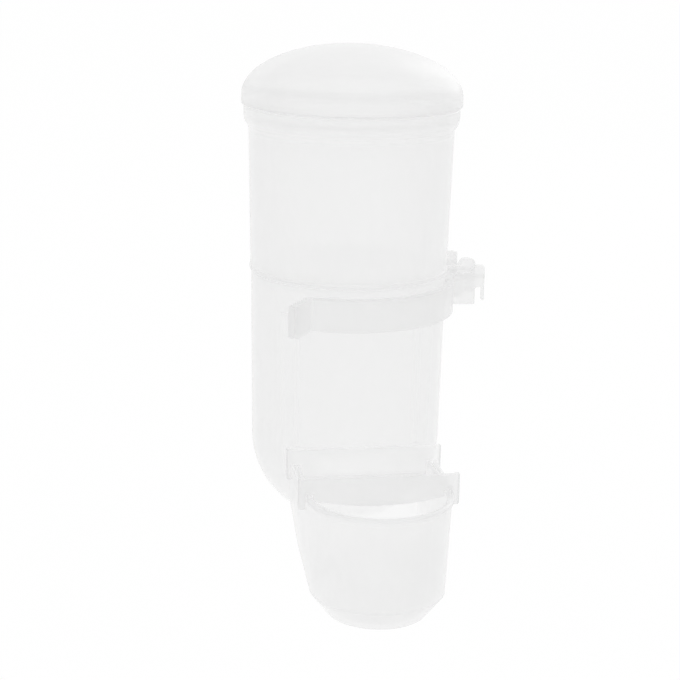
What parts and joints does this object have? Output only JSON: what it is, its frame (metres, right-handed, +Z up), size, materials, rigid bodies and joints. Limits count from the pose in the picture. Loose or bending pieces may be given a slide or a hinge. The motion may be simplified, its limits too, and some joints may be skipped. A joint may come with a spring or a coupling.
{
  "type": "automatic bird feeder",
  "caption": "Milky plastic gravity feeder for a bird cage: seed tube with domed lid on a round-bottomed base, an open feed trough in front, and a turning clip with wire hooks.",
  "frame": {"origin": "on the tube axis at half the height of the cage clip, where the clip holds the feeder to a cage", "axes": "+Z up along the tube axis, -Y toward the feed trough, +X to the right seen from the trough side"},
  "size_m": [0.0737, 0.1132, 0.151],
  "materials": {
    "lid_plastic": "milky translucent polypropylene, soft gloss",
    "tube_plastic": "milky translucent polypropylene, satin",
    "base_plastic": "milky translucent polypropylene, satin",
    "clip_plastic": "milky translucent polypropylene, satin",
    "trough_plastic": "milky translucent polypropylene, satin",
    "yoke_plastic": "milky translucent polypropylene, satin"
  },
  "bodies": {
    "base": {"hopper_base": "base_plastic"},
    "tube": {"seed_tube": "tube_plastic"},
    "lid": {"lid": "lid_plastic"},
    "clip": {"cage_clip": "clip_plastic"},
    "trough": {"feed_trough": "trough_plastic"},
    "yoke": {"trough_yoke": "yoke_plastic"}
  },
  "joints": [
    {"name": "tube_lift", "type": "slide", "parent": "base", "child": "tube", "axis": [0, 0, 1], "range_m": [0, 0.025]},
    {"name": "lid_lift", "type": "slide", "parent": "tube", "child": "lid", "axis": [0, 0, 1], "range_m": [0, 0.04]},
    {"name": "clip_turn", "type": "hinge", "parent": "base", "child": "clip", "pos_m": [0, 0, 0], "axis": [0, 0, 1], "continuous": true},
    {"name": "trough_pull", "type": "slide", "parent": "base", "child": "trough", "axis": [0, -1, 0], "range_m": [0, 0.025]},
    {"name": "yoke_lift", "type": "slide", "parent": "trough", "child": "yoke", "axis": [0, 0, 1], "range_m": [0, 0.02]}
  ]
}
